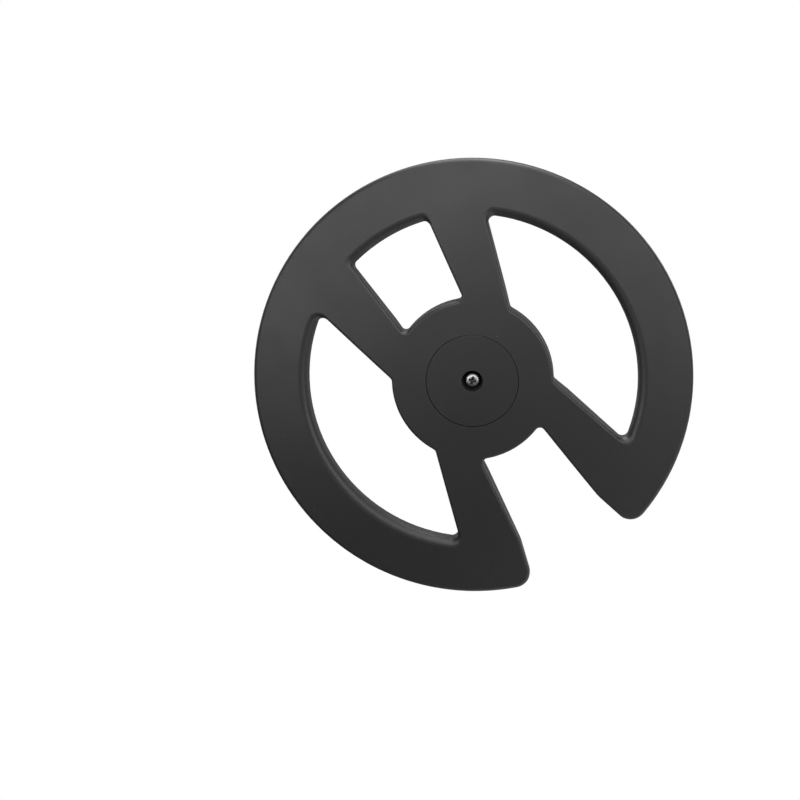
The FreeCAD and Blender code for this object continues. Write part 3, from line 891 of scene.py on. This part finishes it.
floor_finish, tree, paint = new_finish("pale_floor")
feed(tree, paint.inputs["Base Color"], PALE_GREY)
paint.inputs["Roughness"].default_value = MATT
distance = tree.nodes.new("ShaderNodeVectorMath")
distance.operation = "LENGTH"
feed(tree, distance.inputs[0], object_place(tree))
whiteness = ramp_between(tree, distance.outputs["Value"], FADE_START, FADE_END,
                         to_low=WHITE_NEAR)
mix_shaders(tree, math_node(tree, "MULTIPLY", sees_white(tree, MIRRORED_SHARE), whiteness),
            paint, tree.nodes.new("ShaderNodeEmission"), tree.nodes["Material Output"])
dress(floor, floor_finish)

# %% Make the world
ROOM_LIGHT = 0.04
BACK_START = -0.1
BACK_END = 0.35

world = bpy.data.worlds.new("studio")
world.use_nodes = True
bpy.context.scene.world = world
tree = world.node_tree
room = tree.nodes["Background"]
white = tree.nodes.new("ShaderNodeBackground")
for light, strength in ((room, ROOM_LIGHT), (white, 1)):
    light.inputs["Color"].default_value = (1, 1, 1, 1)
    light.inputs["Strength"].default_value = strength
direction = split_axes(tree, tree.nodes.new("ShaderNodeTexCoord").outputs["Generated"])
share_behind = ramp_between(tree, direction["Y"], BACK_START, BACK_END,
                            to_high=MIRRORED_SHARE)
mix_shaders(tree, sees_white(tree, share_behind), room, white, tree.nodes["World Output"])
print("room's light:", ROOM_LIGHT)

# %% [markdown]
# ## Lamps
#
# The disc's gradient tells where the lamps were. It is lightest along its top, a little
# lighter on the left and right than in the middle, and darkest below the hub. So one lamp
# hangs in front and above, and two stand in front at either side, low enough for the shallow
# dome to mirror them, and a weak one at the upper right fills the rim there. A long lamp
# straight above draws the thin light lines on the rolled edges and hardly touches the face.
# Three broad ones behind show the ribs and the adapter from the back. Each lamp is described
# by its radiance, which is how bright a mirror would show it, and turned into watts. Together
# they light a card that faces the camera about as bright as its own colour.

# %% Make the lamps
LAMP_DISTANCE = 1.5


def lamp(name, azimuth, elevation, width, height, radiance):
    """A rectangular lamp round the part that faces it, placed as the photo shows directions."""
    direction = towards(math.radians(azimuth), math.radians(elevation))
    data = bpy.data.lights.new(name, "AREA")
    data.shape = "RECTANGLE"
    data.size = width
    data.size_y = height
    data.energy = radiance * math.pi * width * height
    lit = bpy.data.objects.new(name, data)
    lit.location = direction * LAMP_DISTANCE
    lit.rotation_euler = direction.to_track_quat("Z", "Y").to_euler()
    bpy.context.scene.collection.objects.link(lit)
    print(name, "watts:", round(data.energy, 1))


lamp("lamp_top", azimuth=0, elevation=82, width=1.8, height=0.8, radiance=5.0)
lamp("lamp_above", azimuth=0, elevation=28, width=1.2, height=0.6, radiance=3.4)
lamp("lamp_left", azimuth=-38, elevation=8, width=0.7, height=1.0, radiance=3.3)
lamp("lamp_right", azimuth=38, elevation=9, width=0.7, height=1.0, radiance=3.1)
lamp("lamp_far_right", azimuth=50, elevation=45, width=1.2, height=1.2, radiance=0.9)
lamp("lamp_behind", azimuth=180, elevation=64, width=2.0, height=1.0, radiance=3.0)
lamp("lamp_behind_left", azimuth=-128, elevation=5, width=1.3, height=1.3, radiance=1.2)
lamp("lamp_behind_right", azimuth=128, elevation=5, width=1.3, height=1.3, radiance=1.2)

# %% [markdown]
# ## Colours as they are written
#
# A film look would bend the colours, so the view is Standard, which shows them as they are
# written.

# %% View settings
bpy.context.scene.view_settings.view_transform = "Standard"
print("view:", bpy.context.scene.view_settings.view_transform)
